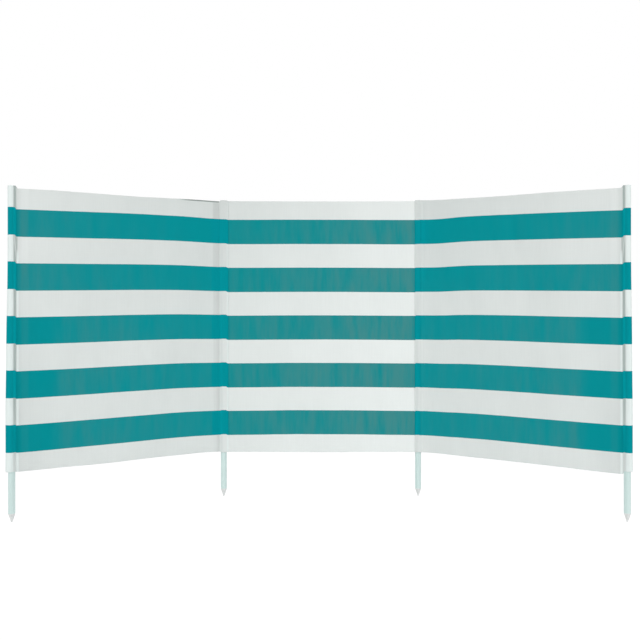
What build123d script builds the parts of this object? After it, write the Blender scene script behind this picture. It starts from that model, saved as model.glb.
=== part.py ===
from build123d import *
import os
from math import acos, atan2, cos, hypot, radians, sin

# A beach windbreak of three bays: one sheet of cloth with four pockets, and a pointed tube pole
# in each pocket. Millimetres, +Z up, +X along the middle bay, +Y to the rear.
# The origin is the blunt end of the second pole's point, where it goes into the ground.

# Layout of the bays
BAY_PITCH = 790.0          # from pole axis to pole axis
BAY_SWING = 27.0           # degrees that each outer bay stands forward of the middle bay

# Poles
POLE_LENGTH = 1200.0       # over the point and the cap
POLE_DIAMETER = 24.0
TUBE_WALL = 0.6
PLUG_FIT = 0.1             # between the tube's bore and what is plugged into it

# Moulded points
POINT_LENGTH = 32.0
POINT_BLUNT = 4.0          # diameter of the flat at the end
POINT_COLLAR = 1.5         # straight stretch between the cone and the tube
POINT_SPIGOT = 40.0

# Moulded caps
CAP_HEAD = 4.5             # height of the cap above the tube
CAP_SPIGOT = 16.0

# Cloth
CLOTH = 1.0                # thickness of one layer
CLOTH_CLEARANCE = 0.3      # between the cloth and what carries it
CLOTH_BOTTOM = 180.0       # height of the lower edge above the points' ends
TOP_SAG_OUTER = 5.0        # how far the top edge sags at the middle of an outer bay
TOP_SAG_MIDDLE = 2.5
TOP_DROP_OUTER = 4.0       # how much lower the top edge meets an outer pole's pocket
BELLY = 6.0                # how far each bay bellies to the rear at its middle
HEM_WIDTH = 12.0

# Pockets
INNER_PLAY = 1.0           # between an inner pole and its pocket
OUTER_PLAY_TOP = 2.9       # the same at an outer pole, at the top
OUTER_PLAY_MOUTH = 4.0     # and at the mouth, where the pocket is wider
OUTER_DROOP = 3.9          # how far an outer pocket's round side hangs out at its mouth
OUTER_SET_BACK = 7.0       # how far behind the pole's axis an outer pocket's seam lies
SEAM_REACH = 4.5           # from a pocket's round side to the seam that closes it
LAP_REACH = 41.0           # from an inner pole's axis to the far seam of its pocket

# Sizes that follow from those above
POLE_RADIUS = POLE_DIAMETER / 2
BORE_RADIUS = POLE_RADIUS - TUBE_WALL
TUBE_TOP = POLE_LENGTH - CAP_HEAD
CLOTH_TOP = POLE_LENGTH + CLOTH_CLEARANCE + CLOTH
INNER_POCKET = POLE_RADIUS + INNER_PLAY + CLOTH
OUTER_POCKET = POLE_RADIUS + OUTER_PLAY_TOP + CLOTH
OUTER_MOUTH = POLE_RADIUS + OUTER_PLAY_MOUTH + CLOTH
INNER_SEAM = INNER_POCKET + SEAM_REACH
OUTER_SEAM = OUTER_POCKET + SEAM_REACH

# Each bay is drawn in a frame of its own: x runs along the bay from an inner pole, y to the rear.
LEFT_BAY = Location((0, 0, 0), (0, 0, BAY_SWING))
RIGHT_BAY = Location((BAY_PITCH, 0, 0), (0, 0, -BAY_SWING))
REACH_X = BAY_PITCH * cos(radians(BAY_SWING))
REACH_Y = BAY_PITCH * sin(radians(BAY_SWING))
POLE_PLACES = [(-REACH_X, -REACH_Y), (0, 0), (BAY_PITCH, 0), (BAY_PITCH + REACH_X, -REACH_Y)]


# Poles

def pole_tube():
    """Thin-walled tube from the point's shoulder to the cap's rim."""
    ring = Circle(POLE_RADIUS) - Circle(BORE_RADIUS)
    return extrude(Pos(0, 0, POINT_LENGTH) * ring, TUBE_TOP - POINT_LENGTH)


def pole_point():
    """Blunt cone under a short collar as wide as the tube, and a spigot that plugs into the tube."""
    blunt = POINT_BLUNT / 2
    spigot = BORE_RADIUS - PLUG_FIT
    spigot_top = POINT_LENGTH + POINT_SPIGOT
    outline = Polyline(
        (0, 0),
        (blunt, 0),
        (POLE_RADIUS, POINT_LENGTH - POINT_COLLAR),
        (POLE_RADIUS, POINT_LENGTH),
        (spigot, POINT_LENGTH),
        (spigot, spigot_top),
        (0, spigot_top),
        close=True,
    )
    return revolve(Plane.XZ * make_face(outline), Axis.Z)


def pole_cap():
    """Plug whose head is as wide as the tube."""
    spigot = BORE_RADIUS - PLUG_FIT
    spigot_end = TUBE_TOP - CAP_SPIGOT
    outline = Polyline(
        (0, spigot_end),
        (spigot, spigot_end),
        (spigot, TUBE_TOP),
        (POLE_RADIUS, TUBE_TOP),
        (POLE_RADIUS, POLE_LENGTH),
        (0, POLE_LENGTH),
        close=True,
    )
    return revolve(Plane.XZ * make_face(outline), Axis.Z)


# Pockets

def pocket_section(radius, droop, seam, set_back, inset=0.0):
    """Plan section of a pocket whose sides run straight from its round part to the seam.

    The round part has this radius about a point droop beyond the pole's axis. The seam is two
    layers thick and may be set back. An inset draws the same section further in, with its sides
    parallel.
    """
    seam_x = seam + droop
    end_x = seam_x - inset
    corners = []
    for side in (-1, 1):
        corner_y = set_back + side * CLOTH
        turn = atan2(corner_y, seam_x) + side * acos(radius / hypot(seam_x, corner_y))
        end_y = (radius - inset - end_x * cos(turn)) / sin(turn)
        touch = ((radius - inset) * cos(turn), (radius - inset) * sin(turn))
        corners.append((touch, (end_x, end_y)))
    (front_touch, front_end), (rear_touch, rear_end) = corners
    straight = Polyline(front_touch, front_end, rear_end, rear_touch)
    round_part = ThreePointArc(rear_touch, (inset - radius, 0), front_touch)
    return Pos(-droop, 0) * make_face(straight.edges() + round_part.edges())


def pocket(top_radius, mouth_radius, mouth_droop, seam, set_back):
    """Cloth pocket round a pole, closed at its top, open and wider at its mouth."""

    def between(low, high, inset):
        mouth = pocket_section(mouth_radius, mouth_droop, seam, set_back, inset)
        top = pocket_section(top_radius, 0, seam, set_back, inset)
        return loft([Pos(0, 0, low) * mouth, Pos(0, 0, high) * top], ruled=True)

    outside = between(CLOTH_BOTTOM, CLOTH_TOP, 0)
    hollow = between(CLOTH_BOTTOM - CLOTH, CLOTH_TOP - CLOTH, CLOTH)
    return outside - hollow


def inner_pocket():
    return pocket(INNER_POCKET, INNER_POCKET, 0, INNER_SEAM, 0)


def outer_pocket():
    """The pocket at an outer bay's far end, whose seam is turned towards the bay."""
    shape = pocket(OUTER_POCKET, OUTER_MOUTH, OUTER_DROOP, OUTER_SEAM, OUTER_SET_BACK)
    return Pos(BAY_PITCH, 0, 0) * mirror(shape, about=Plane.YZ)


# Cloth of the bays

def cloth(start, end, set_back, front, elevation):
    """One layer of cloth between start and end, which bellies to the rear.

    Its front face starts this far behind the line of the poles and ends further behind it by
    the set-back. Its outline, seen from the front, is the elevation.
    """
    middle = (start + end) / 2
    belly = set_back / 2 + BELLY
    back = front + CLOTH
    near = ThreePointArc((start, front), (middle, front + belly), (end, front + set_back))
    far = ThreePointArc((start, back), (middle, back + belly), (end, back + set_back))
    first = Line((start, front), (start, back))
    last = Line((end, front + set_back), (end, back + set_back))
    band = make_face(near.edges() + last.edges() + far.edges() + first.edges())
    upright = extrude(band, CLOTH_TOP)
    room = 2 * (BELLY + set_back + back)
    return upright & extrude(Plane.XZ * elevation, room, both=True)


def top_edge(start, end, sag, drop, lowered=0.0):
    """The sagging line of the top edge, or the same line lower down.

    The line ends lower than it starts by the drop.
    """
    top = CLOTH_TOP - lowered
    middle = ((start + end) / 2, top - drop / 2 - sag)
    return ThreePointArc((start, top), middle, (end, top - drop))


def panel(start, end, set_back, sag, drop):
    """One bay's single layer of cloth between its seams."""
    edge = top_edge(start, end, sag, drop)
    rest = Polyline(edge @ 1, (end, CLOTH_BOTTOM), (start, CLOTH_BOTTOM), edge @ 0)
    elevation = make_face(edge.edges() + rest.edges())
    return cloth(start, end, set_back, -CLOTH / 2, elevation)


def top_hem(start, end, set_back, sag, drop):
    """The top edge turned back behind the panel and sewn down."""
    upper = top_edge(start, end, sag, drop)
    lower = top_edge(start, end, sag, drop, HEM_WIDTH)
    first = Line(upper @ 0, lower @ 0)
    last = Line(upper @ 1, lower @ 1)
    elevation = make_face(upper.edges() + last.edges() + lower.edges() + first.edges())
    return cloth(start, end, set_back, CLOTH / 2, elevation)


def bottom_hem(start, end, set_back):
    """The bottom edge turned back behind the panel and sewn down."""
    centre = ((start + end) / 2, CLOTH_BOTTOM + HEM_WIDTH / 2)
    elevation = Pos(*centre) * Rectangle(end - start, HEM_WIDTH)
    return cloth(start, end, set_back, CLOTH / 2, elevation)


def pocket_lap():
    """The double cloth between an inner pocket's round part and its far seam.

    It turns with the outer bay, so its end is hollowed round the pole's axis.
    """
    height = CLOTH_TOP - CLOTH_BOTTOM
    middle = Pos(LAP_REACH / 2, 0, CLOTH_BOTTOM + height / 2)
    strip = middle * Box(LAP_REACH, 2 * CLOTH, height)
    swing_room = Cylinder(INNER_POCKET + CLOTH_CLEARANCE, 2 * CLOTH_TOP)
    return strip - swing_room


# Assembly

def outer_bay():
    """Everything of one outer bay but its pole, drawn from its inner pole outwards."""
    start = LAP_REACH
    end = BAY_PITCH - OUTER_SEAM
    return {
        "panel": panel(start, end, OUTER_SET_BACK, TOP_SAG_OUTER, TOP_DROP_OUTER),
        "top_hem": top_hem(start, end, OUTER_SET_BACK, TOP_SAG_OUTER, TOP_DROP_OUTER),
        "bottom_hem": bottom_hem(start, end, OUTER_SET_BACK),
        "pocket_lap": pocket_lap(),
        "end_pocket": outer_pocket(),
    }


def middle_bay():
    start = INNER_SEAM
    end = BAY_PITCH - INNER_SEAM
    return {
        "panel": panel(start, end, 0, TOP_SAG_MIDDLE, 0),
        "top_hem": top_hem(start, end, 0, TOP_SAG_MIDDLE, 0),
        "bottom_hem": bottom_hem(start, end, 0),
    }


def windbreak():
    """All nodes by name. Poles and pockets are numbered from the left, seen from the front."""
    nodes = {}
    pole = {"pole_tube": pole_tube(), "pole_point": pole_point(), "pole_cap": pole_cap()}
    for number, (x, y) in enumerate(POLE_PLACES, start=1):
        for name, shape in pole.items():
            nodes[f"{name}_{number}"] = Pos(x, y, 0) * shape

    nodes["pocket_2"] = inner_pocket()
    nodes["pocket_3"] = Pos(BAY_PITCH, 0, 0) * Rot(0, 0, 180) * inner_pocket()

    for name, shape in middle_bay().items():
        nodes[f"{name}_middle"] = shape
    for name, shape in outer_bay().items():
        left = LEFT_BAY * mirror(shape, about=Plane.YZ)
        right = RIGHT_BAY * shape
        if name == "end_pocket":
            nodes["pocket_1"] = left
            nodes["pocket_4"] = right
        else:
            nodes[f"{name}_left"] = left
            nodes[f"{name}_right"] = right
    return nodes


os.makedirs("parts", exist_ok=True)
for node, shape in windbreak().items():
    export_step(shape, f"parts/{node}.step")
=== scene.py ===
import math

import bpy
import numpy as np
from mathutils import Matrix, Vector


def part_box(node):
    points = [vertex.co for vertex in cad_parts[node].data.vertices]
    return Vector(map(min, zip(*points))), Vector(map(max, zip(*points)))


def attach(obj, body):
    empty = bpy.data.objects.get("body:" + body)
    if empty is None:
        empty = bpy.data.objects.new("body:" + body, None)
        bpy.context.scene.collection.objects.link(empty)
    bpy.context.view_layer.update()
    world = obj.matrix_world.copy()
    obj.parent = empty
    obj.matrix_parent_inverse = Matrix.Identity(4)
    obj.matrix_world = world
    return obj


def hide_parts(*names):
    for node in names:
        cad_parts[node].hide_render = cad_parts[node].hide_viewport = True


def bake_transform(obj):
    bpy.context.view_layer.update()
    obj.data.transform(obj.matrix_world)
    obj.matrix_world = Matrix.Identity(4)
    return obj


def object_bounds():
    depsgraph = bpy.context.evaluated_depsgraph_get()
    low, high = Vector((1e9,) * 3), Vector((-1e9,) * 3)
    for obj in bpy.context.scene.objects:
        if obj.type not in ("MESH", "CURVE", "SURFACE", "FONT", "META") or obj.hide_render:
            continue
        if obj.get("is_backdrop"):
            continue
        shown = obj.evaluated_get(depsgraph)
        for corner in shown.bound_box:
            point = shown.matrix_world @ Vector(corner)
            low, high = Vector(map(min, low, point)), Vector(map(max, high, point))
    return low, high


# A beach windbreak: three bays of striped woven cloth on four pointed poles. Metres, +Z up, seen
# from the front along +Y. The poles are the frame's own; the cloth is modelled here round them.

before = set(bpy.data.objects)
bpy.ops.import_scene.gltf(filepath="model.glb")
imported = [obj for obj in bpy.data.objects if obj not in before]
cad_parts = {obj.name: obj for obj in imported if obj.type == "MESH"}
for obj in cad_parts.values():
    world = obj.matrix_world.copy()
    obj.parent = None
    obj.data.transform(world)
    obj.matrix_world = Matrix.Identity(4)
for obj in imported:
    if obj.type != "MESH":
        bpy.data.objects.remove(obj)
cad_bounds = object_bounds()

MM = 0.001
UP = np.array([0.0, 0.0, 1.0])

# Camera
CAMERA_PLACE = (0.437, -2.933, 0.762)
CAMERA_ROLL = math.radians(0.03)
CAMERA_LENS = 40.56
CAMERA_SHIFT = (-0.0175, -0.0180)

# Light and floor
AMBIENT = 0.47              # level of the light from all around
FLOOR_GLOW = 0.86           # how bright the floor is to the camera by itself
FLOOR_SHADED = 0.22         # and what it sends back besides, which a shadow takes away
FLOOR_PLAIN = 0.78          # what it sends back to the object

# Cloth
THREAD_PITCH = 0.9 * MM
CLOTH = 0.9 * MM            # thickness of one layer
LAYER_STEP = 1.1 * MM       # from the middle of one layer to the middle of the next
EDGE_FOLD = LAYER_STEP / 2  # radius of the fold at an edge
FOLD_ANGLES = np.linspace(0, np.pi, 6)[1:-1]    # where round the fold its rows lie
SHARP = math.radians(50)    # edges that turn more than this aren't smoothed over
HEM_WIDTH = 12 * MM
COARSE = 6 * MM             # spacing of the mesh in the open cloth
FINE = 1.8 * MM             # and beside a seam
FINE_REACH = 16 * MM        # as far out as this
NEAR_TOP = np.array([2.2, 3.7, 5.0]) * MM   # rows added below the top edge, where its shade ends

# Bands of colour, measured up the flat cloth from its lower edge
BAND_PERIOD = 193.6 * MM
BAND_WIDTH = 98.4 * MM
BAND_CENTRE = 506.8 * MM    # middle of the third of the five bands


def lerp(a, b, t):
    return a + (b - a) * t


def smooth(t):
    t = np.clip(t, 0.0, 1.0)
    return t * t * (3 - 2 * t)


def rise(x, start, width):
    """Softly from 0 at start to 1 a width further on."""
    return smooth((x - start) / width)


def bell(x, centre, width):
    """1 at the centre, softly less to both sides of it."""
    return np.exp(-(((x - centre) / width) ** 2))


def through(x, knots):
    """A smooth curve through (x, value) knots, level at each end of the list."""
    places = np.array([k[0] for k in knots])
    values = np.array([k[1] for k in knots])
    slopes = np.gradient(values, places)
    i = np.clip(np.searchsorted(places, x) - 1, 0, len(places) - 2)
    step = places[i + 1] - places[i]
    t = np.clip((x - places[i]) / step, 0.0, 1.0)
    return (
        values[i] * (1 + 2 * t) * (1 - t) ** 2
        + values[i + 1] * t * t * (3 - 2 * t)
        + slopes[i] * step * t * (1 - t) ** 2
        - slopes[i + 1] * step * t * t * (1 - t)
    )


class Waves:
    """A smooth uneven surface: a sum of waves with seeded directions and phases."""

    def __init__(self, seed, length_x, length_z, count=14):
        draw = np.random.default_rng(seed)
        self.x = 2 * np.pi / length_x * draw.uniform(0.5, 1.5, count) * draw.choice((-1, 1), count)
        self.z = 2 * np.pi / length_z * draw.uniform(0.5, 1.5, count)
        self.phase = draw.uniform(0, 2 * np.pi, count)
        self.weight = draw.uniform(0.5, 1.0, count) / math.sqrt(count / 2)

    def __call__(self, x, z):
        x, z = np.broadcast_arrays(x, z)
        turn = x[..., None] * self.x + z[..., None] * self.z + self.phase
        return (np.sin(turn) * self.weight).sum(-1)


# Sizes from the frame

def axis_of(number):
    low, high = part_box(f"pole_tube_{number}")
    return np.array([(low.x + high.x) / 2, (low.y + high.y) / 2, 0.0])


POLES = {number: axis_of(number) for number in (1, 2, 3, 4)}
CLOTH_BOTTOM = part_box("pocket_2")[0].z
CLOTH_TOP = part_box("pocket_2")[1].z
CLOTH_HEIGHT = CLOTH_TOP - CLOTH_BOTTOM


class Bay:
    """One bay's own frame: x from its first pole along the bay, y to the rear, z up.

    Along the whole cloth, measured from pole 2 to the right, it starts at the offset and runs
    with the sign. Its waves are shifted against the other bays'.
    """

    def __init__(self, name, first, last, offset, sign, shift):
        self.name = name
        self.body = f"{name}_bay"
        self.first = first
        self.last = last
        self.offset = offset
        self.sign = sign
        self.shift = shift
        span = POLES[last] - POLES[first]
        self.origin = POLES[first]
        self.pitch = float(np.linalg.norm(span))
        self.along = span / self.pitch
        rear = np.cross(UP, self.along)
        self.rear = rear * np.sign(rear[1])

    def place(self, x, y, z):
        """The point in the frame at this x, y and z of the bay."""
        x, y, z = np.broadcast_arrays(x, y, z)
        flat = x[..., None] * self.along + y[..., None] * self.rear
        return self.origin + flat + z[..., None] * UP

    def on_cloth(self, x):
        """The place along the whole cloth."""
        return self.offset + self.sign * x

    def span_of(self, node):
        """From where to where a node reaches along the bay."""
        points = np.array([v.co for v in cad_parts[node].data.vertices]) - self.origin
        far = points @ self.along
        return far.min(), far.max()


MIDDLE = Bay("middle", 2, 3, 0.0, 1, 0.0)
LEFT = Bay("left", 2, 1, 0.0, -1, 2.3)
RIGHT = Bay("right", 3, 4, MIDDLE.pitch, 1, 5.1)

INNER_SEAM = MIDDLE.span_of("panel_middle")[0]
LAP_REACH = LEFT.span_of("pocket_lap_left")[1]
OUTER_SEAM = LEFT.pitch - LEFT.span_of("panel_left")[1]


# Shape of the cloth

MIDDLE_BELLY = 14 * MM      # how far the middle of a bay hangs to the rear
OUTER_BELLY = 5 * MM
OUTER_SET_BACK = -3 * MM    # how far behind the pole's axis an outer bay ends

INNER_RADIUS = 13.5 * MM    # middle of a pocket's cloth about its pole
OUTER_RADIUS = 12.75 * MM
OUTER_MOUTH_RADIUS = {"left": 16.0 * MM, "right": 14.2 * MM}
OUTER_MOUTH_HANG = {"left": 3.8 * MM, "right": 3.4 * MM}    # its centre beyond the pole's axis
OUTER_LOOSE = (             # how far it hangs loose, against the share of the height
    (0, 1.04), (0.1, 1), (0.2, 1.02), (0.35, 0.78), (0.5, 0.56), (0.62, 0.2), (0.75, 0), (1, 0),
)
OUTER_FOLD = 12.8 * MM      # from the pole's axis to the fold between flank and flange
OUTER_RAISED = 1.6 * MM     # how far the mouth ends above the bay's lower edge
OUTER_END = 14.0 * MM       # from the pole's axis to the end of an outer bay's cloth
FLANGE_FRONT = 16.2 * MM    # and to the edge of the pocket's cloth before and behind it
FLANGE_REAR = 22.7 * MM
DRAWN_FROM = 9.0 * MM       # from a pole's axis to where its pocket is drawn to the bay's heights

# Where the cloth of the middle bay and of an outer bay ends at the inner pole between them: how
# far from the pole's axis in the bay's own directions, and how far behind it
NEAR_SEAM = {"left": (19.5 * MM, -11.0 * MM), "right": (13.4 * MM, -8.2 * MM)}
FAR_SEAM = {"left": (20.0 * MM, -3.4 * MM), "right": (13.0 * MM, -9.8 * MM)}
MIDDLE_START = NEAR_SEAM["left"][0]
MIDDLE_END = MIDDLE.pitch - NEAR_SEAM["right"][0]

# Corners of the front of an inner pocket beyond its pole, in millimetres, and how an outer bay's
# depth changes on the way out from its far seam: distance and depth in millimetres
FRONT_CORNERS = {"left": ((-11.5, -13.0),), "right": ()}
FAR_REACH = {
    "left": (
        (20, -3.4), (24, -3.5), (32, -3.2), (48, -2.2), (72, -1.1), (110, -0.3), (160, 0), (770, 0),
    ),
    "right": ((13, -9.8), (17, -9.4), (22, -6.2), (32, -3.4), (52, -0.8), (90, 0), (770, 0)),
}

# How far the bands lie above or below their place on the flat cloth, in millimetres, against the
# distance from the inner pole: near the lower edge and near the top. Then the same for the edges.
BAND_LIFT = {
    "left": (
        ((0, 0), (178, 2), (335, -0.3), (558, -3.6), (697, -4.2), (770, -4.0)),
        ((0, 1), (60, 2), (178, 4.8), (335, 4.5), (558, -0.2), (697, -3.6), (770, -5.8)),
    ),
    "right": (
        ((0, -1.5), (95, -1.4), (178, -0.3), (335, -1), (558, -3.9), (697, -4.5), (770, -4.6)),
        ((0, -2), (95, -2.5), (178, 1), (335, 0.3), (558, -4.4), (697, -8), (770, -10.4)),
    ),
    "middle": (((0, 0), (395, 0), (790, -1.5)), ((0, -1), (395, 1), (790, -2))),
}
EDGE_LIFT = {
    "left": (
        ((0, 2), (60, 4.2), (178, 3.4), (335, 1.1), (480, -2.4), (625, -1.6), (770, -1.6)),
        (
            (0, -5.8), (36, -5.4), (80, -4.8), (150, -4.8), (204, -5.2), (335, -7.8), (558, -6.8),
            (697, -7.5), (770, -9.6),
        ),
    ),
    "right": (
        ((0, 0), (95, -0.1), (255, -3.4), (410, -5), (558, -7.7), (697, -10.2), (770, -10.6)),
        ((0, -1), (95, -4.2), (178, -4.6), (335, -5.5), (558, -5.2), (697, -7.3), (770, -8.2)),
    ),
    "middle": (
        ((0, 2), (110, 0.6), (395, -3), (675, 0), (790, 0)),
        ((0, -4), (110, -3.8), (395, -3.4), (675, -3.8), (790, -4)),
    ),
}
MIDDLE_BAND_SAG = 2.4 * MM  # how much lower the middle bay's bands lie at half height

# How far the bands lie higher on a pocket than on the flat cloth, at the mouth and at the top
INNER_POCKET_SHIFT = {"left": (3.0 * MM, 0.5 * MM), "right": (-0.6 * MM, -2.6 * MM)}
OUTER_POCKET_SHIFT = {"left": (-1.9 * MM, 0.7 * MM), "right": (-4.2 * MM, -3.8 * MM)}

# Layers that are counted for the colour: of an inner pocket, at its mouth and at its top, and what
# is added to the one of an outer bay at its lower and upper edge, with the way over which it fades.
# Two stand for doubled cloth, painted deeper where less light comes through, and more for painted
# shade on the white
POCKET_LAYERS_AND_SHADE = {"left": (2.3, 2.9), "right": (2.0, 2.0)}
DOUBLED_AND_SHADED = {"left": ((1.3, 3.0), 13 * MM), "right": ((-2.2, 1.23), 12 * MM)}

# Unevenness: long swells, softer ones and small ripples, and their heights
broad_waves = Waves(3, 0.30, 1.40)
soft_waves = Waves(5, 0.11, 0.45)
small_waves = Waves(8, 0.035, 0.06)
BROAD_HEIGHT = 1.5 * MM
SOFT_HEIGHT = 0.7 * MM
SMALL_HEIGHT = 0.12 * MM


def in_metres(knots):
    return [(x * MM, value * MM) for x, value in knots]


def columns_between(start, end):
    """Places across a piece of cloth, closer together beside its seams."""
    fine = int(FINE_REACH / FINE)
    near = start + np.linspace(0, FINE_REACH, fine, endpoint=False)
    far = end - np.linspace(0, FINE_REACH, fine, endpoint=False)[::-1]
    count = int((end - start - 2 * FINE_REACH) / COARSE)
    open_cloth = np.linspace(start + FINE_REACH, end - FINE_REACH, count, endpoint=False)
    return np.concatenate([near, open_cloth, far])


def unevenness(shift, x, z, slack):
    """How far the cloth lies out of its smooth shape, with less of it where slack is small."""
    x = x + shift
    swells = BROAD_HEIGHT * broad_waves(x, z) + SOFT_HEIGHT * soft_waves(x, z)
    return slack * swells + SMALL_HEIGHT * small_waves(x, z)


def heights(bay, x, share):
    """Height of a bay's cloth and its place up the flat cloth, for each share of its height."""
    low, high = (through(x, in_metres(knots)) for knots in BAND_LIFT[bay.name])
    bottom, top = (through(x, in_metres(knots)) for knots in EDGE_LIFT[bay.name])
    z = lerp(CLOTH_BOTTOM + bottom, CLOTH_TOP + top, share)
    v = (z - CLOTH_BOTTOM - low) / (1 + (high - low) / CLOTH_HEIGHT)
    if bay is MIDDLE:
        v = v + MIDDLE_BAND_SAG * np.sin(np.pi * share)
    return z, v


def middle_surface(x, share):
    """Depth, height and place up the flat cloth of the middle bay at x."""
    t = np.clip((x - MIDDLE_START) / (MIDDLE_END - MIDDLE_START), 0, 1)
    arch = np.sin(np.pi * t)
    z, v = heights(MIDDLE, x, share)
    front = lerp(NEAR_SEAM["left"][1], NEAR_SEAM["right"][1], t)
    y = front + MIDDLE_BELLY * arch + unevenness(MIDDLE.shift, x, z, arch ** 0.5)
    return y, z, v


def outer_surface(bay, x, share):
    """The same for an outer bay."""
    z, v = heights(bay, x, share)
    t = (x - INNER_SEAM) / (bay.pitch - OUTER_SEAM - INNER_SEAM)
    arch = np.sin(np.pi * np.clip(t, 0, 1))
    y = OUTER_SET_BACK * smooth(t) + OUTER_BELLY * arch + through(x, in_metres(FAR_REACH[bay.name]))
    return y + unevenness(bay.shift, x, z, arch ** 0.5), z, v


def surface(bay, x, share):
    """The same for any bay."""
    return middle_surface(x, share) if bay is MIDDLE else outer_surface(bay, x, share)


def profile_rows():
    """The way up a bay's cloth with both its hems: share of the height, depth, and which hem.

    It starts at the lower hem's end behind the cloth, goes round the lower edge, up the front,
    round the top edge and down to the upper hem's end. The lower hem is -1 and the upper 1.
    """
    fold = EDGE_FOLD / CLOTH_HEIGHT
    hem = np.linspace(HEM_WIDTH, EDGE_FOLD, 5) / CLOTH_HEIGHT
    front = np.linspace(fold, 1 - fold, int(CLOTH_HEIGHT / COARSE))
    front = np.sort(np.append(front, 1 - NEAR_TOP / CLOTH_HEIGHT))
    rows = [(share, LAYER_STEP, -1) for share in hem]
    rows += [((1 - np.sin(a)) * fold, EDGE_FOLD * (1 + np.cos(a)), 0) for a in FOLD_ANGLES]
    rows += [(share, 0.0, 0) for share in front]
    rows += [(1 - (1 - np.sin(a)) * fold, EDGE_FOLD * (1 - np.cos(a)), 0) for a in FOLD_ANGLES]
    rows += [(1 - share, LAYER_STEP, 1) for share in hem[::-1]]
    return np.array(rows)


# Sections of the pockets, seen from above: p runs from the pole into its bay and q to the rear

def round_circle(start, end, centre, radius):
    """Straight from start to a circle, clockwise round it and straight to end."""
    ends = []
    for point, side in ((start, -1), (end, 1)):
        reach = np.subtract(point, centre)
        tangent = math.acos(radius / math.hypot(*reach))
        ends.append(math.atan2(reach[1], reach[0]) + side * tangent)
    sweep = (ends[0] - ends[1]) % (2 * math.pi)
    angles = ends[0] - np.linspace(0, sweep, ARC_POINTS)
    arc = np.stack([centre[0] + radius * np.cos(angles), centre[1] + radius * np.sin(angles)], -1)
    return np.concatenate([[start], arc, [end]])


def lengths_along(path):
    steps = np.linalg.norm(np.diff(path, axis=0), axis=1)
    return np.concatenate([[0.0], np.cumsum(steps)])


def read_off(values, at, places):
    """What the values that are given at some places come to at others."""
    return np.stack([np.interp(places, at, column) for column in values.T], -1)


def sampled(path, first=0.0, last=1.0):
    """A pocket's columns along half its section, between two shares of the path's length."""
    along = lengths_along(path)
    return read_off(np.array(path), along, np.linspace(first, last, POCKET_COLUMNS) * along[-1])


def softened(loop, passes=3):
    """The same path with its corners rounded off and its ends kept."""
    loop = loop.copy()
    for _ in range(passes):
        loop[1:-1] = (loop[:-2] + 2 * loop[1:-1] + loop[2:]) / 4
    return loop


LID_ROWS = (                # share of the way to the closing line, and rise in millimetres
    (0.02, -0.6), (0.08, -0.3), (0.2, -0.1), (0.45, 0.0),
    (0.7, 0.0), (0.85, 0.1), (0.93, 0.3), (0.96, 0.7),
)
LID_DROP = 1.6 * MM         # from a pocket's highest point to the top of its wall
LID_RIPPLE = 0.35 * MM      # height of the gathered cloth's ripples
RIPPLE_PITCH = 4.5 * MM
CAP_REACH = 12.0 * MM       # the lid lies on the cap as far out as this, and beyond it hangs
OFF_CAP = 2.5 * MM          # over this width to the bay's height
SHUT = 1.4 * MM             # the lid has no faces where front and rear lie closer than twice this
POCKET_COLUMNS = 38         # across each half of a pocket's section
ARC_POINTS = 40             # round its pole
ROOM = 6 * MM               # dents fade where front and rear come closer than twice this
FLANGE = 1.05 * MM          # from the middle of the bay's cloth to that of the pocket's
SEAM_FOLD = 1.2 * MM        # how far an inner pocket's fold reaches beyond its seam

# An outer bay's own directions, along and to the rear, in (p, q)
TURN = math.atan2(LEFT.rear[0], LEFT.rear[1])
FAR_FRAME = np.array([(-math.cos(TURN), math.sin(TURN)), (math.sin(TURN), math.cos(TURN))])


def inner_section(side):
    """Section of an inner pocket, from its seam in front of the pole to its far seam and back."""
    fold = np.array([SEAM_FOLD, 0.0])
    step = np.array([0.0, FLANGE])

    def ends(layer):
        """The near and the far end of a layer, each at its fold and at its seam."""
        near = np.array(NEAR_SEAM[side]) + layer * step
        far = np.array(FAR_SEAM[side]) + layer * step
        return near + fold, near, far @ FAR_FRAME, (far + fold) @ FAR_FRAME

    start, near, far, tip = ends(-1)
    corners = [np.array(corner) * MM for corner in FRONT_CORNERS[side]]
    to = corners[0] if corners else far
    front = [start, *round_circle(near, to, (0, 0), INNER_RADIUS), *corners[1:], far, tip]
    start, near, far, tip = ends(1)
    rear = [tip, *round_circle(far, near, (0, 0), INNER_RADIUS), start]
    return np.concatenate([sampled(front), sampled(rear)])


def outer_section(side, share):
    """Section of an outer pocket at this share of its height: it hangs looser at its mouth."""
    loose = float(through(np.array(share), OUTER_LOOSE))
    radius = lerp(OUTER_RADIUS, OUTER_MOUTH_RADIUS[side], loose)
    centre = (-OUTER_MOUTH_HANG[side] * loose, 0.0)
    outermost = (centre[0] - radius, 0.0)
    fold = (OUTER_FOLD, OUTER_SET_BACK - FLANGE)
    front_edge = (FLANGE_FRONT, OUTER_SET_BACK - FLANGE)
    rear_edge = (FLANGE_REAR, OUTER_SET_BACK + FLANGE)
    whole = round_circle(fold, rear_edge, centre, radius)
    turning = int(np.argmin(np.hypot(*(whole - outermost).T)))
    front = [front_edge, *whole[:turning + 1]]
    rear = whole[turning:]
    half = 0.5 / POCKET_COLUMNS
    return np.concatenate([sampled(front, last=1.0 - half), sampled(rear, first=half)])


# Painted light and shade in the cloth's colour: 1 is painted light where it lies on a pale pole,
# up to 2 a painted highlight where it is drawn out into a ridge, -1 painted shade over the dark
# inside of a pocket, and down to -2 a painted shadow along a dark fold

# The pucker beside each outer pocket near its top is only painted, as shade and light
PUCKER_START = 0.742        # share of the height where the pucker beside an outer pole starts
PUCKER_END = 0.825

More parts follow.
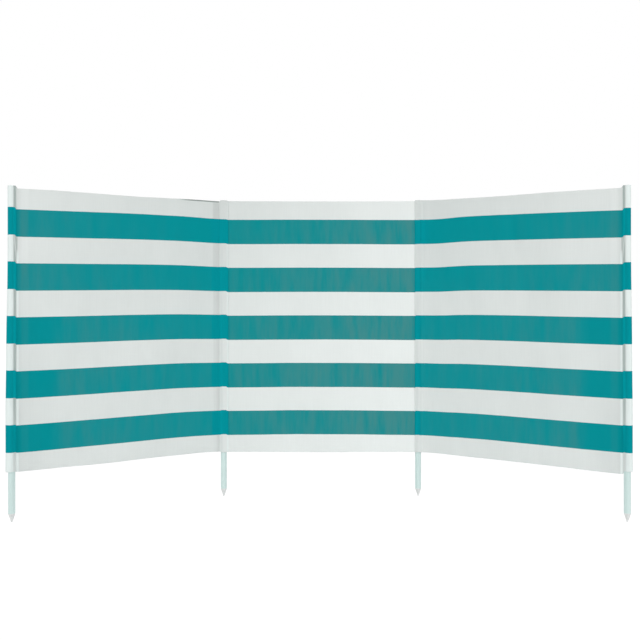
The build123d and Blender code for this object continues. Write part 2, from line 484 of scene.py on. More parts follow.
# Painted shade and light lines up the front of the inner pockets, whose cloth lies in slight folds:
# place from the pole towards the middle bay and width in millimetres, and strength at the top and
# at the bottom, below 0 for painted shade and above 0 for painted light
INNER_SHADES_AND_LIGHTS = {
    "left": ((-19.5, 4.0, -0.30, -0.70), (-7.5, 5.5, -0.06, -0.24), (20.0, 5.0, 0.3, 1.0)),
    "right": ((-3.0, 5.0, -0.18, 0.0), (5.5, 4.0, -0.05, -0.18), (-13.0, 5.0, 0.0, 1.35)),
}


def painted_pucker(share):
    """How strongly the painted pucker beside an outer pocket shows, at this share of the height."""
    return rise(share, PUCKER_START, 0.02) * (1 - rise(share, PUCKER_END, 0.01))


def in_front(loop):
    """True for the columns of a pocket's section that lie in its front half."""
    return np.arange(len(loop)) < len(loop) // 2


def outer_painted_shading(loop, share):
    """The painted light and shade of an outer pocket: painted light on the pole in front, and
    painted shade over a hollow beside the seam.

    The shade is shallow at the mouth, and a painted slanting pucker crosses it near the top.
    At the mouth the flange stands out with a painted highlight instead.
    """
    p, q = loop.T / MM
    light_on_pole = (1 - rise(q, -2.0, 4.0)) * (1 - rise(p, 1.0, 5.0))
    start = lerp(0.3, 2.5, rise(share, 0.2, 0.35))
    depth = lerp(0.1, 1.0, rise(share, 0.01, 0.25))
    hollow_shade = depth * rise(p, start, 5.0) * (1 - rise(p, 12.0, 4.5))
    slant = lerp(13.5, 7.5, np.clip((share - 0.765) / 0.06, 0, 1))
    hollow_shade *= 1 - 0.75 * painted_pucker(share) * bell(p, slant, 2.2)
    hollow_shade += painted_pucker(share) * rise(p, 14.5, 1.5)
    flange_highlight = 1.6 * rise(p, 12.5, 2.5) * (1 - rise(share, 0.1, 0.3))
    return light_on_pole + in_front(loop) * (flange_highlight - hollow_shade)


def inner_painted_shading(side, loop, share):
    """The painted shading of an inner pocket: its painted shades and light lines, on its front."""
    p = loop[:, 0] / MM
    low = 1 - rise(share, 0.3, 0.7)
    shades_and_lights = sum(
        lerp(top, bottom, low) * bell(p, place, width)
        for place, width, top, bottom in INNER_SHADES_AND_LIGHTS[side]
    )
    return in_front(loop) * shades_and_lights


def bay_painted_shading(bay, x, share, depth):
    """The painted shading of a bay's front: a painted highlight up a ridge of the cloth beside an
    outer pole, where the painted pucker also shades it.

    Near the inner pole the left bay has a painted shadow line along its top fold, and the right
    bay a painted soft shade up its top third.
    """
    if bay is MIDDLE:
        return np.zeros(np.broadcast(x, share).shape)
    p = (bay.pitch - x) / MM
    ridge_highlight = rise(p, 14.5, 2.5) * (1 - rise(p, 20.5, 4.0)) * (1 - rise(share, 0.76, 0.03))
    painted_shading = 1.7 * ridge_highlight - 1.1 * painted_pucker(share) * (1 - rise(p, 17.0, 2.5))
    if bay is LEFT:
        from_top = (1 - share) * CLOTH_HEIGHT / MM
        painted_shading = painted_shading - 2.0 * (1 - rise(from_top, 4.0, 1.4)) * (1 - rise(x, 0.13, 0.07))
    else:
        painted_shading = painted_shading - 0.15 * rise(share, 0.55, 0.3) * bell(x / MM, 27.0, 7.0)
    return painted_shading * (depth < 0.7 * LAYER_STEP)


def joined(own_shift, raised, seams):
    """The height of each of a pocket's columns and its place up the flat cloth.

    They are drawn to those of a bay towards its seam. A seam holds the bay, the way to it from
    the pole in (p, q), how far it lies, and whether the bay's x starts at this pole.
    """
    def heights_at(loop, share):
        z = np.full(len(loop), CLOTH_BOTTOM + share * CLOTH_HEIGHT + raised * (1 - share))
        v = np.full(len(loop), share * CLOTH_HEIGHT - lerp(*own_shift, share))
        for bay, heading, seam, at_first in seams:
            out = loop @ heading
            weight = rise(out, DRAWN_FROM, seam - DRAWN_FROM)
            bay_z, bay_v = heights(bay, out if at_first else bay.pitch - out, share)
            z, v = lerp(z, bay_z, weight), lerp(v, bay_v, weight)
        return z, v
    return heights_at


# Building meshes

def in_scene(name, data):
    placed = bpy.data.objects.new(name, data)
    bpy.context.scene.collection.objects.link(placed)
    return placed


def link(name, mesh, material):
    mesh.materials.append(material)
    return in_scene(name, mesh)


def grid_faces(rows, columns):
    """Quads of a grid."""
    row, column = np.meshgrid(np.arange(rows - 1), np.arange(columns - 1), indexing="ij")
    corner = row * columns + column
    quads = np.stack([corner, corner + 1, corner + columns + 1, corner + columns], axis=-1)
    return quads.reshape(-1, 4)


def cloth_mesh(name, points, thread, painted_shading, faces):
    """A mesh in the middle of a layer, with what the cloth's material needs at each point.

    That is its place on the flat cloth, along and up it, with its layers and painted shading.
    """
    mesh = bpy.data.meshes.new(name)
    mesh.from_pydata(points.reshape(-1, 3).tolist(), [], np.array(faces, dtype=object).tolist())
    attribute = mesh.attributes.new("thread", "FLOAT_VECTOR", "POINT")
    attribute.data.foreach_set("vector", thread.reshape(-1).astype(np.float32))
    attribute = mesh.attributes.new("painted_shading", "FLOAT", "POINT")
    attribute.data.foreach_set("value", painted_shading.reshape(-1).astype(np.float32))
    return mesh


def cloth_piece(name, points, thread, painted_shading, faces=None):
    """A piece of cloth with its thickness, from a grid of points in the middle of the layer."""
    if faces is None:
        faces = grid_faces(*points.shape[:2])
    piece = link(name, cloth_mesh(name, points, thread, painted_shading, faces), cloth_material)
    thicken = piece.modifiers.new("Cloth", "SOLIDIFY")
    thicken.thickness = CLOTH
    thicken.offset = 0.0
    depsgraph = bpy.context.evaluated_depsgraph_get()
    thick = bpy.data.meshes.new_from_object(
        piece.evaluated_get(depsgraph), preserve_all_data_layers=True, depsgraph=depsgraph
    )
    piece.modifiers.clear()
    piece.data = thick
    thick.shade_smooth()
    thick.set_sharp_from_angle(angle=SHARP)
    return piece


def pocket_rows():
    """The way up a pocket from the end of its turned-in mouth to the top of its wall.

    Each row has its share of the height and how many layers inside the wall it lies. Also
    returns how many of the rows are turned in.
    """
    rows = [(h / CLOTH_HEIGHT, 1.0) for h in np.linspace(HEM_WIDTH, EDGE_FOLD, 5)]
    rows += [((1 - np.sin(a)) * EDGE_FOLD / CLOTH_HEIGHT, (1 + np.cos(a)) / 2) for a in FOLD_ANGLES]
    count = int(CLOTH_HEIGHT / COARSE)
    wall = np.linspace(EDGE_FOLD / CLOTH_HEIGHT, 1 - LID_DROP / CLOTH_HEIGHT, count)
    return rows + [(share, 0.0) for share in wall], len(rows)


def pocket_faces(rows, columns, is_open):
    """Quads of a pocket's grid, shut at the top along the line between its front and rear."""
    faces = grid_faces(rows, columns)
    row, column = np.divmod(faces[:, 0], columns)
    kept = (row < rows - len(LID_ROWS)) | (is_open[column] & is_open[column + 1])
    last = (rows - 1) * columns
    closing = [
        (last + j, last + j + 1, last + columns - 2 - j, last + columns - 1 - j)
        for j in range(columns // 2 - 1) if is_open[j] and is_open[j + 1]
    ]
    return np.concatenate([faces[kept], np.array(closing)])


def pocket_piece(name, place, section, heights_at, unwind, dents, painted_shading_at, layers_and_shade, sewn):
    """A pocket: its mouth turned in, its wall, and its top gathered to a line of stitches.

    place turns (p, q, z) into the frame, section gives the loop at a share of the height,
    heights_at its heights and places up the flat cloth, unwind the place of each column along
    the flat cloth, and dents how far each point is pushed out. The layers, which above two stand
    for painted shade, are those at the mouth and at the top. Also returns the lines that run up
    the outside of the columns in sewn.
    """
    way_up, turned_in = pocket_rows()
    points, thread, painted_shading = [], [], []
    lines = {column: [] for column in sewn}
    for number, (share, inset) in enumerate(way_up):
        loop = softened(section(share))
        middle = (loop + loop[::-1]) / 2
        room = smooth(np.hypot(*(loop - middle).T) / ROOM)
        tangent = np.gradient(loop, axis=0)
        tangent /= np.hypot(*tangent.T)[:, None]
        inward = np.stack([tangent[:, 1], -tangent[:, 0]], -1)
        u = unwind(loop)
        level = CLOTH_BOTTOM + share * CLOTH_HEIGHT
        out = (dents(u, level) - LAYER_STEP * inset) * room
        shaped = loop - inward * out[:, None]
        z, v = heights_at(loop, share)
        if number < turned_in:
            v = -v
        points.append(place(*shaped.T, z))
        deep = lerp(*layers_and_shade, share)
        thread.append(np.stack([u, v, np.full(len(loop), deep)], -1))
        painted_shading.append(painted_shading_at(loop, share))
        if number >= turned_in:
            face = shaped - inward * CLOTH / 2
            beyond = place(*(face - inward).T, z)
            face = place(*face.T, z)
            for column in sewn:
                lines[column].append((face[column], beyond[column] - face[column], thread[-1][column]))

    # The top: rows that draw in to the line midway between front and rear
    top, middle_top = shaped, (shaped + shaped[::-1]) / 2
    high = CLOTH_TOP - CLOTH / 2
    for way, lift in LID_ROWS:
        drawn = lerp(top, middle_top, way)
        ripple = LID_RIPPLE * np.sin(u * 2 * math.pi / RIPPLE_PITCH) * math.sin(math.pi * way)
        off_cap = rise(np.hypot(*drawn.T), CAP_REACH, OFF_CAP)
        lid = high + lift * MM + ripple * room + (z - level) * off_cap
        points.append(place(*drawn.T, lid))
        thread.append(np.stack([u, v + way * HEM_WIDTH, np.full(len(u), deep)], -1))
        painted_shading.append(painted_shading[-1])

    points = np.array(points)
    is_open = np.hypot(*(top - middle_top).T) > SHUT
    faces = pocket_faces(*points.shape[:2], is_open)
    return cloth_piece(name, points, np.array(thread), np.array(painted_shading), faces), lines


# Stitches

STITCH_PITCH = 3.5 * MM
STITCH_SIZE = np.array([1.3, 0.32, 0.34]) * MM      # half its length and width, and its height
STITCH_RING = ((-1.0, -0.2), (-0.5, 1.0), (0.5, 1.0), (1.0, -0.2))
STITCH_POINTS = STITCH_SIZE * np.array([
    (-1, 0, -0.1),
    *((-0.62, *corner) for corner in STITCH_RING),
    *((0.62, *corner) for corner in STITCH_RING),
    (1, 0, -0.1),
])
STITCH_FACES = (
    (0, 2, 1), (0, 3, 2), (0, 4, 3), (0, 1, 4), (9, 5, 6), (9, 6, 7), (9, 7, 8), (9, 8, 5),
    (1, 2, 6, 5), (2, 3, 7, 6), (3, 4, 8, 7), (4, 1, 5, 8),
)


class Stitching:
    """Stitches along the seams of one body, gathered into one piece."""

    def __init__(self):
        self.points, self.thread = [], []

    def line(self, steps):
        """Stitches along a line on the cloth's face.

        The steps hold a point, the way out from the cloth, and its place on the flat cloth.
        """
        path, outward, thread = (np.array([step[k] for step in steps]) for k in range(3))
        at = lengths_along(path)
        count = int(at[-1] / STITCH_PITCH)
        middles = (np.arange(count) + 0.5) * at[-1] / count
        half = STITCH_SIZE[0]
        heading = read_off(path, at, middles + half) - read_off(path, at, middles - half)
        heading /= np.linalg.norm(heading, axis=1)[:, None]
        out = read_off(outward, at, middles)
        out /= np.linalg.norm(out, axis=1)[:, None]
        points = read_off(path, at, middles)[:, None]
        for k, way in enumerate((heading, np.cross(out, heading), out)):
            points = points + STITCH_POINTS[:, k, None] * way[:, None]
        self.points.append(points.reshape(-1, 3))
        self.thread.append(np.repeat(read_off(thread, at, middles), len(STITCH_POINTS), axis=0))

    def piece(self, name):
        points, thread = np.concatenate(self.points), np.concatenate(self.thread)
        starts = range(0, len(points), len(STITCH_POINTS))
        faces = [tuple(start + k for k in face) for start in starts for face in STITCH_FACES]
        mesh = cloth_mesh(name, points, thread, np.zeros(len(points)), faces)
        mesh.shade_smooth()
        piece = link(name, mesh, cloth_material)
        return piece


# Materials

def new_material(name):
    """A material, and the nodes it is made of."""
    material = bpy.data.materials.new(name)
    material.use_nodes = True
    return material, Nodes(material.node_tree)


def rgb(red, green, blue):
    """An sRGB colour, 0 to 255, as the linear colour that a shader takes."""
    def linear(value):
        value = value / 255
        return value / 12.92 if value <= 0.04045 else ((value + 0.055) / 1.055) ** 2.4
    return (linear(red), linear(green), linear(blue), 1.0)


class Nodes:
    """Short calls for adding nodes to one tree."""

    def __init__(self, tree):
        self.tree = tree

    def add(self, kind, inputs=(), **settings):
        node = self.tree.nodes.new(kind)
        for key, value in settings.items():
            setattr(node, key, value)
        for key, value in dict(inputs).items():
            self.feed(node.inputs[key], value)
        return node

    def feed(self, socket, value):
        if isinstance(value, bpy.types.NodeSocket):
            self.tree.links.new(value, socket)
        else:
            socket.default_value = value

    def math(self, operation, *values):
        return self.add("ShaderNodeMath", enumerate(values), operation=operation).outputs[0]

    def noise(self, vector, scale, detail=2.0, roughness=0.5):
        inputs = {"Vector": vector, "Scale": scale, "Detail": detail, "Roughness": roughness}
        return self.add("ShaderNodeTexNoise", inputs).outputs["Fac"]

    def stretch(self, vector, x, y, z):
        inputs = {0: vector, 1: (x, y, z)}
        return self.add("ShaderNodeVectorMath", inputs, operation="MULTIPLY").outputs[0]

    def ramp(self, value, low, high, to_low=0.0, to_high=1.0):
        inputs = enumerate((value, low, high, to_low, to_high))
        return self.add("ShaderNodeMapRange", inputs).outputs["Result"]

    def mix(self, factor, first, second, blend="MIX"):
        inputs = {0: factor, 6: first, 7: second}
        return self.add("ShaderNodeMix", inputs, data_type="RGBA", blend_type=blend).outputs[2]

    def bump(self, height, distance, strength):
        inputs = {"Height": height, "Distance": distance, "Strength": strength}
        return self.add("ShaderNodeBump", inputs).outputs[0]

    def finish(self, colour, roughness, normal, specular=0.5):
        """Hands over what the tree's own shader needs."""
        inputs = self.tree.nodes["Principled BSDF"].inputs
        self.feed(inputs["Base Color"], colour)
        self.feed(inputs["Roughness"], roughness)
        self.feed(inputs["Normal"], normal)
        self.feed(inputs["Specular IOR Level"], specular)

    def seen(self):
        """1 for what the camera sees, straight or by way of a mirror or glass."""
        ray = self.add("ShaderNodeLightPath").outputs
        through = self.math("MAXIMUM", ray["Is Glossy Ray"], ray["Is Transmission Ray"])
        return self.math("MAXIMUM", ray["Is Camera Ray"], through)


# Colours of the cloth, and where they change along it

# White under painted shade and under painted light, between which the cloth's white is mixed
WHITE_SHADED, WHITE_LIT = rgb(208, 213, 211), rgb(238, 242, 240)
WHITE_PAINTED_SHADES = (            # white turns into these painted lights and shades, each from one level to another
    (0.0, 1.0, rgb(226, 235, 233)), (1.0, 2.0, rgb(243, 249, 247)),
    (0.0, -1.0, rgb(179, 189, 186)), (-1.0, -2.0, rgb(138, 146, 143)),
)
# The middle bay's teal and the outer bays': one cloth, coloured apart as painted light on each bay
TEAL_MIDDLE, TEAL_OUTER = rgb(0, 138, 143), rgb(0, 142, 149)
# The same teal greyed by painted sheen
TEAL_MIDDLE_SHEEN, TEAL_OUTER_SHEEN = rgb(63, 137, 138), rgb(63, 138, 139)
# Teal painted deeper where doubled cloth lets less light through, and painted lighter over a hollow to
# lift its shade
TEAL_DOUBLED, TEAL_LIFTED_IN_SHADE = rgb(0, 142, 151), rgb(0, 158, 168)
MIDDLE_COLOURS = (377.3 * MM, 398.1 * MM)   # middle and half width of the middle bay's colours
CREASE_HIGHLIGHT = 1.142              # from the windbreak's middle to a soft crease in each outer bay, along which a highlight is painted
OUTER_AXIS = MIDDLE.pitch / 2 + LEFT.pitch  # and to an outer pole's axis
RAGGED = 1.2 * MM           # how far the threads at a band's edge stray


def painted_light_and_sheen(n, along, height, sheen_clouds):
    """How much painted light falls on the cloth at each place, from 0 where there is none.

    Its white is lighter and its teal greyer with painted sheen, both more towards the middle bay's
    right end, the outer bays' outer ends and the lower edge, and along a painted highlight on a
    soft crease in each outer bay. Also says where the middle bay's colours are.
    """
    from_middle = n.math("ABSOLUTE", n.math("SUBTRACT", along, MIDDLE.pitch / 2))
    in_middle = n.math("COMPARE", along, *MIDDLE_COLOURS)
    lower = n.ramp(height, 1.0, 0.45)
    middle_way = n.ramp(along, 0.0, MIDDLE.pitch)
    outer_way = n.ramp(from_middle, MIDDLE.pitch / 2, OUTER_AXIS)

    def rising_level(way, start, gain, below, below_far):
        """A level that rises along the way, and below the top by an amount that changes along it."""
        added = n.math("MULTIPLY", lower, n.math("MULTIPLY_ADD", way, below_far - below, below))
        return n.math("ADD", n.math("MULTIPLY_ADD", way, gain, start), added)

    def spared(level, down, out, most):
        """The level, less by up to this much at the low part of an outer bay's outer end."""
        less = n.math("MULTIPLY", n.ramp(height, *down), n.ramp(outer_way, *out, 0.0, -most))
        return n.math("ADD", level, less)

    outer = spared(rising_level(outer_way, 0.07, 0.43, 0.25, 0.0), (0.65, 0.2), (0.82, 0.94), 0.22)
    middle = rising_level(middle_way, 0.12, 0.52, 0.32, 0.15)
    brightening = n.ramp(in_middle, 0.0, 1.0, outer, middle)

    outer = spared(rising_level(outer_way, 0.04, 0.54, 0.42, 0.15), (0.66, 0.54), (0.775, 0.84), 0.45)
    outer = n.math("POWER", n.math("MAXIMUM", outer, 0.0), 2.6)
    at_seam = n.ramp(from_middle, OUTER_AXIS - 30 * MM, OUTER_AXIS - 16 * MM, 1.0, 0.15)
    outer = n.math("MULTIPLY", outer, at_seam)
    middle = n.math("POWER", rising_level(middle_way, 0.32, 0.52, 0.26, 0.12), 2.0)
    greying_sheen = n.math("MULTIPLY", n.ramp(in_middle, 0.0, 1.0, outer, middle), sheen_clouds)

    off_crease = n.math("ABSOLUTE", n.math("SUBTRACT", from_middle, CREASE_HIGHLIGHT))
    up_crease = n.ramp(height, 0.3, 0.95, 0.4, 1.0)
    crease_highlight = n.math("MULTIPLY", n.ramp(off_crease, 16 * MM, 8 * MM), up_crease)
    brightening = n.math("MULTIPLY_ADD", crease_highlight, 0.12, brightening)
    greying_sheen = n.math("MULTIPLY_ADD", crease_highlight, 0.25, greying_sheen)
    return in_middle, brightening, greying_sheen


def striped_cloth():
    """Plain-woven cloth, teal bands across white, deeper where double; painted light and sheen."""
    material, n = new_material("striped_cloth")
    thread = n.add("ShaderNodeAttribute", attribute_name="thread").outputs["Vector"]
    parts = n.add("ShaderNodeSeparateXYZ", {0: thread}).outputs
    along, height, layers_and_shade = parts[0], parts[1], parts[2]
    painted_shading = n.add("ShaderNodeAttribute", attribute_name="painted_shading").outputs["Fac"]

    # Uneven threads: long thin streaks up the cloth and shorter ones across it, and cloudy
    # streaks and patches that vary the painted sheen and the white's tone
    warp = n.noise(n.stretch(thread, 230, 9, 0), 1.0, 3.0, 0.6)
    weft = n.noise(n.stretch(thread, 12, 420, 0), 1.0, 2.0, 0.6)
    streaks = n.noise(n.stretch(thread, 34, 5, 0), 1.0, 3.0, 0.55)
    patches = n.noise(n.stretch(thread, 6, 4, 0), 1.0, 2.0)
    streaks = n.ramp(streaks, 0.30, 0.70, 0.35, 1.65)
    sheen_clouds = n.math("ADD", streaks, n.ramp(patches, 0.35, 0.65, -0.2, 0.2))
    in_middle, brightening, greying_sheen = painted_light_and_sheen(n, along, height, sheen_clouds)

    # Bands, with edges uneven by a thread
    ragged = n.math("MULTIPLY", n.math("SUBTRACT", n.noise(thread, 900.0), 0.5), RAGGED)
    first_edge = BAND_CENTRE - BAND_WIDTH / 2 - 2 * BAND_PERIOD
    from_edge = n.math("SUBTRACT", n.math("ADD", height, ragged), first_edge - BAND_PERIOD)
    in_period = n.math("FLOORED_MODULO", from_edge, BAND_PERIOD)
    band = n.math("LESS_THAN", in_period, BAND_WIDTH)

    # Teal and white, each changed by painted shade and light: deeper where the cloth lies double
    # and lets less light through, lighter on a pole, and over a hollow darker white and lifted teal
    painted_layer_shade = n.ramp(layers_and_shade, 2.0, 4.0, 1.0, 0.86)
    teal_without_sheen = n.mix(in_middle, TEAL_OUTER, TEAL_MIDDLE)
    teal_with_sheen = n.mix(in_middle, TEAL_OUTER_SHEEN, TEAL_MIDDLE_SHEEN)
    teal = n.mix(greying_sheen, teal_without_sheen, teal_with_sheen)
    teal = n.mix(n.ramp(layers_and_shade, 1.0, 1.8), teal, TEAL_DOUBLED)
    teal = n.mix(n.ramp(painted_shading, 0.0, -1.0), teal, TEAL_LIFTED_IN_SHADE)
    whiteness = n.math("ADD", brightening, n.ramp(patches, 0.3, 0.7, -0.05, 0.05))
    white = n.mix(whiteness, WHITE_SHADED, WHITE_LIT)
    white = n.mix(1.0, white, painted_layer_shade, blend="MULTIPLY")
    for start, end, other in WHITE_PAINTED_SHADES:
        white = n.mix(n.ramp(painted_shading, start, end), white, other)
    colour = n.mix(band, white, teal)
    shade = n.math("ADD", n.ramp(warp, 0.2, 0.8, -0.02, 0.02), n.ramp(weft, 0.2, 0.8, -0.012, 0.012))
    colour = n.mix(1.0, colour, n.math("ADD", shade, 0.99), blend="MULTIPLY")

    # Plain weave: threads over and under each other, with the slubs standing proud
    weave_turn = math.pi / THREAD_PITCH
    over = n.math("SINE", n.math("MULTIPLY", along, weave_turn))
    under = n.math("SINE", n.math("MULTIPLY", height, weave_turn))
    weave = n.math("MULTIPLY", n.math("MULTIPLY", over, under), 0.35)
    relief = n.math("ADD", weave, n.math("MULTIPLY", warp, 1.2))
    roughness = n.ramp(warp, 0.2, 0.8, 0.50, 0.62)
    n.finish(colour, roughness, n.bump(relief, 0.12 * MM, 0.6), specular=0.02)
    return material


def coated_tube():
    """Steel tube with a smooth pale coating."""
    material, n = new_material("coated_tube")
    place = n.add("ShaderNodeTexCoord").outputs["Object"]
    drawn = n.noise(n.stretch(place, 500, 500, 6), 1.0, 3.0)
    peel = n.noise(place, 700.0, 1.0)
    specks = n.noise(place, 160.0, 4.0, 0.7)
    colour = n.mix(n.ramp(drawn, 0.3, 0.7), rgb(198, 219, 216), rgb(206, 225, 222))
    colour = n.mix(n.ramp(specks, 0.66, 0.74, 0.0, 0.5), colour, rgb(184, 196, 194))
    n.finish(colour, n.ramp(drawn, 0.3, 0.7, 0.28, 0.36), n.bump(peel, 0.02 * MM, 0.5))
    return material


def moulded_plastic():
    """Pale grey moulded plastic with a fine grain."""
    material, n = new_material("moulded_plastic")
    place = n.add("ShaderNodeTexCoord").outputs["Object"]
    grain = n.noise(place, 2200.0, 2.0)
    cloudy = n.noise(place, 60.0, 2.0)
    colour = n.mix(n.ramp(cloudy, 0.3, 0.7), rgb(213, 216, 215), rgb(223, 225, 224))
    n.finish(colour, n.ramp(grain, 0.3, 0.7, 0.42, 0.52), n.bump(grain, 0.03 * MM, 0.5))
    return material


def floor_white():
    """White to the camera where nothing shades it, and a plain pale surface to the light."""
    material, n = new_material("floor_white")
    n.tree.nodes.clear()
    glow = n.add("ShaderNodeEmission", {"Color": (1, 1, 1, 1), "Strength": FLOOR_GLOW}).outputs[0]
    shaded = n.add("ShaderNodeBsdfDiffuse", {"Color": (*[FLOOR_SHADED] * 3, 1)}).outputs[0]
    plain = n.add("ShaderNodeBsdfDiffuse", {"Color": (*[FLOOR_PLAIN] * 3, 1)}).outputs[0]
    pale = n.add("ShaderNodeAddShader", {0: glow, 1: shaded}).outputs[0]
    mixed = n.add("ShaderNodeMixShader", {0: n.seen(), 1: plain, 2: pale}).outputs[0]
    n.add("ShaderNodeOutputMaterial", {"Surface": mixed})
    return material


cloth_material = striped_cloth()
tube_material = coated_tube()
plastic_material = moulded_plastic()


# Bays

HEM_STITCH = 9.8 * MM       # from an edge to its hem's stitches
LAP_START = 1.8 * MM        # from an outer bay's far seam to where its lap starts
LAP_STITCH = 2.5 * MM       # from a lap's edge to its stitches
BEYOND_HEM = 12.4 * MM      # from an edge to where a lap comes up from behind the hem
BLEND_HEIGHT = 0.7          # height of the places where an inner pocket's turn starts and ends
FACING = np.array((1.0, 0.0))       # from a pole along its bay, in (p, q)
STITCHED_FROM = 2 * MM      # from the end of a bay's cloth to its hems' first stitch
LAP_EDGE = np.array([0.5, 2, 4, 6, 8, 10, 11.5, 12.5, 13.5, 14.5, 15.5, 17]) * MM   # a lap's rows
LAP_OPEN = 20 * MM          # from its edge to where they lie as far apart as elsewhere
INNER_DENT = 0.25 * MM      # how far the cloth round a pole lies uneven
OUTER_DENT = 0.3 * MM
PUCKER_DEPTH = 0.45 * MM    # of the puckers at an outer pocket's mouth, which fade upwards
PUCKER_PITCH = 10 * MM
PUCKER_FADE = 22 * MM

stitching = {bay.body: Stitching() for bay in (MIDDLE, LEFT, RIGHT)}


def bay_layers_and_shade(bay, x, share):
    """Layers counted for the colour of a bay's cloth; above two, painted shade near the inner pole."""
    if bay is MIDDLE:
        return 1.0
    added, fade = DOUBLED_AND_SHADED[bay.name]
    layers_and_shade = 1.0 + lerp(*added, share) * (1 - rise(x, LAP_REACH, fade))
    if bay is LEFT:
        layers_and_shade = layers_and_shade + 1.7 * (1 - share) * (1 - rise(x, 22 * MM, 16 * MM))
    return layers_and_shade


def sew_through(bay, x, share, behind, layers_and_shade):
    """Stitches along a line of a bay's cloth: on its front, and on the rear of what lies behind."""
    y, z, v = surface(bay, x, share)
    thread = np.stack([bay.on_cloth(x), v, np.full(len(x), layers_and_shade)], -1)
    for depth, out in ((-CLOTH / 2, -1), (behind + CLOTH / 2, 1)):
        path = bay.place(x, y + depth, z)
        stitching[bay.body].line([(point, out * bay.rear, spot) for point, spot in zip(path, thread)])


def bay_cloth(bay, start, end):
    """One bay's cloth with its hems turned to the rear, doubled beside an inner pocket."""
    x = columns_between(start, end)
    if bay is not MIDDLE:
        x = np.sort(np.append(x, LAP_REACH + np.linspace(-0.5, 1.5, 5) * DOUBLED_AND_SHADED[bay.name][1]))
    x = x[None, :]
    rows = profile_rows()
    share, depth, hem = (rows[:, k][:, None] for k in range(3))
    y, z, v = surface(bay, x, share)
    points = bay.place(x, y + depth, z)
    low_edge, high_edge = v[share[:, 0].argmin()], v[share[:, 0].argmax()]
    up = np.where(hem < 0, 2 * low_edge - v, np.where(hem > 0, 2 * high_edge - v, v))
    layers_and_shade = bay_layers_and_shade(bay, x, share)
    thread = np.stack(np.broadcast_arrays(bay.on_cloth(x), up, layers_and_shade), axis=-1)
    piece = cloth_piece(f"cloth_{bay.name}", points, thread, bay_painted_shading(bay, x, share, depth))
    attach(piece, bay.body)
    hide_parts(*(f"{part}_{bay.name}" for part in ("panel", "top_hem", "bottom_hem")))
    x = np.linspace(start + STITCHED_FROM, end - STITCHED_FROM, 200)
    for share in (HEM_STITCH / CLOTH_HEIGHT, 1 - HEM_STITCH / CLOTH_HEIGHT):
        sew_through(bay, x, share, LAYER_STEP, 1.0)


def lap_strip(bay):
    """The inner pocket's cloth carried on behind the bay's, as far as its own stitches."""
    up = np.linspace(LAP_OPEN, CLOTH_HEIGHT - LAP_OPEN, int(CLOTH_HEIGHT / COARSE))
    up = np.concatenate([LAP_EDGE, up, CLOTH_HEIGHT - LAP_EDGE[::-1]])
    from_edge = np.minimum(up, CLOTH_HEIGHT - up)
    behind = LAYER_STEP * (2 - rise(from_edge, BEYOND_HEM, 3 * MM))
    seam = FAR_SEAM[bay.name][0]
    x = np.linspace(seam + LAP_START, LAP_REACH, 15)[None, :]
    y, z, v = surface(bay, x, up[:, None] / CLOTH_HEIGHT)
    points = bay.place(x, y + behind[:, None], z)
    thread = np.stack(np.broadcast_arrays(bay.on_cloth(x), v, 1.8), axis=-1)
    piece = cloth_piece(f"lap_{bay.name}", points, thread, np.zeros(points.shape[:2]))
    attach(piece, bay.body)
    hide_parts(f"pocket_lap_{bay.name}")
    sew_through(bay, np.full(len(up), LAP_REACH - LAP_STITCH), up / CLOTH_HEIGHT, behind, 2.0)


def inner_pocket(bay):
    """The pocket of a bay's inner pole, from one seam to the other."""
    near_seam, far_seam = NEAR_SEAM[bay.name], FAR_SEAM[bay.name]
    waves = Waves(20 + bay.first, 0.03, 0.16)
    loop = inner_section(bay.name)
    near_columns = (1, 2 * POCKET_COLUMNS - 2)
    far_columns = (POCKET_COLUMNS - 2, POCKET_COLUMNS + 1)

    def place(p, q, z):
        return POLES[bay.first] + np.stack([-bay.sign * p, q, z], -1)

    def unwind(loop):
        along = lengths_along(loop)
        across = along * (near_seam[0] + far_seam[0]) / along[POCKET_COLUMNS - 1]
        return bay.offset - bay.sign * (near_seam[0] - across)

    def dents(u, z):
        return INNER_DENT * (1 + waves(u, np.full(len(u), z)))

    seams = ((MIDDLE, FACING, near_seam[0], bay is LEFT), (bay, FAR_FRAME[0], far_seam[0], True))
    piece, lines = pocket_piece(
        f"pocket_cloth_{bay.first}", place, lambda share: loop,
        joined(INNER_POCKET_SHIFT[bay.name], 0.0, seams), unwind, dents,
        lambda loop, share: inner_painted_shading(bay.name, loop, share),
        POCKET_LAYERS_AND_SHADE[bay.name], near_columns + far_columns,
    )
    seam_place = place(*near_seam, BLEND_HEIGHT)
    far_place = bay.place(*far_seam, BLEND_HEIGHT)
    tuple(seam_place)
    tuple(far_place)
    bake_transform(piece)
    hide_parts(f"pocket_{bay.first}")
    around = lengths_along(loop)[-1]
    for column in near_columns:
        stitching["middle_bay"].line(lines[column])
    for column in far_columns:
        stitching[bay.body].line(lines[column])


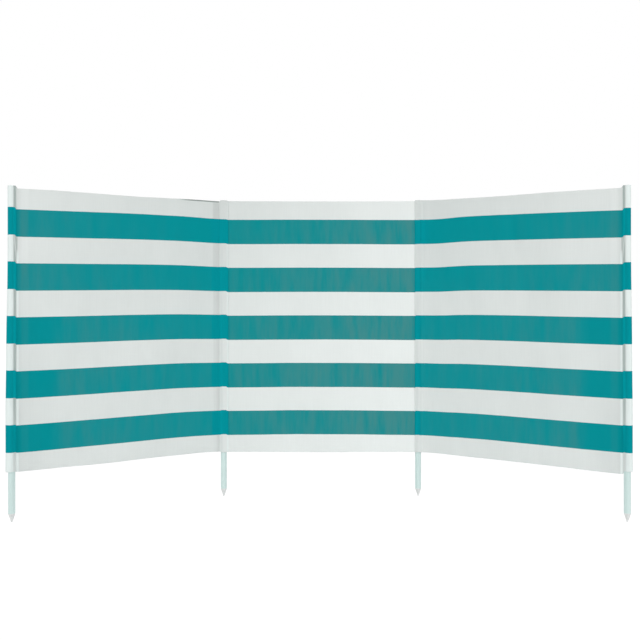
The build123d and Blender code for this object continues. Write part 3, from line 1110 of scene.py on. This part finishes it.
def outer_pocket(bay):
    """The pocket of a bay's outer pole, which hangs looser at its puckered mouth."""
    waves = Waves(30 + bay.last, 0.04, 0.12)
    sewn = (1, 2 * POCKET_COLUMNS - 3)

    def place(p, q, z):
        return bay.place(bay.pitch - p, q, z)

    def unwind(loop):
        return bay.on_cloth(bay.pitch - FLANGE_FRONT + lengths_along(loop))

    def dents(u, z):
        fade = math.exp((CLOTH_BOTTOM - z) / PUCKER_FADE)
        puckers = PUCKER_DEPTH * np.sin(u * 2 * math.pi / PUCKER_PITCH) * fade
        return OUTER_DENT * (0.6 + waves(u, np.full(len(u), z))) + puckers

    seams = ((bay, FACING, FLANGE_FRONT, False),)
    piece, lines = pocket_piece(
        f"pocket_cloth_{bay.last}", place, lambda share: outer_section(bay.name, share),
        joined(OUTER_POCKET_SHIFT[bay.name], OUTER_RAISED, seams), unwind, dents,
        outer_painted_shading, (2.0, 2.0), sewn,
    )
    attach(piece, bay.body)
    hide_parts(f"pocket_{bay.last}")
    around = lengths_along(outer_section(bay.name, 0.5))[-1]
    for column in sewn:
        stitching[bay.body].line(lines[column])


bay_cloth(MIDDLE, MIDDLE_START, MIDDLE_END)
for bay in (LEFT, RIGHT):
    bay_cloth(bay, FAR_SEAM[bay.name][0], bay.pitch - OUTER_END)
    lap_strip(bay)
    inner_pocket(bay)
    outer_pocket(bay)
for body, stitches in stitching.items():
    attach(stitches.piece(f"stitches_{body}"), body)


# Poles

for part, material in (("tube", tube_material), ("point", plastic_material), ("cap", plastic_material)):
    for number in POLES:
        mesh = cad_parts[f"pole_{part}_{number}"].data
        mesh.materials.clear()
        mesh.materials.append(material)


# Stage, light and camera

def add_floor():
    side = 30.0
    mesh = bpy.data.meshes.new("floor")
    corners = [(-side, -side, 0), (side, -side, 0), (side, side, 0), (-side, side, 0)]
    mesh.from_pydata(corners, [], [(0, 1, 2, 3)])
    link("floor", mesh, floor_white())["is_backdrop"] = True


def add_world():
    world = bpy.data.worlds.new("studio")
    world.use_nodes = True
    bpy.context.scene.world = world
    n = Nodes(world.node_tree)
    inputs = n.tree.nodes["Background"].inputs
    n.feed(inputs["Color"], (1, 1, 1, 1))
    n.feed(inputs["Strength"], n.ramp(n.seen(), 0.0, 1.0, AMBIENT, 1.0))


def add_sun(name, azimuth, elevation, spread, level):
    """A broad even light from far away.

    The azimuth is measured from straight in front to the right. The level is what a white
    surface that faces the light sends back.
    """
    light = bpy.data.lights.new(name, "SUN")
    light.angle = math.radians(spread)
    light.energy = math.pi * level
    lamp = in_scene(name, light)
    a, e = math.radians(azimuth), math.radians(elevation)
    towards = Vector((math.sin(a) * math.cos(e), -math.cos(a) * math.cos(e), math.sin(e)))
    lamp.location = towards * 4
    lamp.rotation_euler = towards.to_track_quat("Z", "Y").to_euler()


def add_camera():
    data = bpy.data.cameras.new("camera")
    data.lens = CAMERA_LENS
    data.shift_x, data.shift_y = CAMERA_SHIFT
    camera = in_scene("camera", data)
    camera.location = CAMERA_PLACE
    camera.rotation_euler = (math.radians(90), CAMERA_ROLL, 0)
    bpy.context.scene.camera = camera


add_floor()
add_world()
add_sun("left", -45, 20, 40, 0.37)
add_sun("right", 47, 20, 40, 0.37)
add_sun("rear", 160, 40, 50, 0.30)
add_camera()
bpy.context.scene.view_settings.view_transform = "Standard"

boxes = {"cad": cad_bounds, "visual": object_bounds()}
{key: [list(corner) for corner in box] for key, box in boxes.items()}
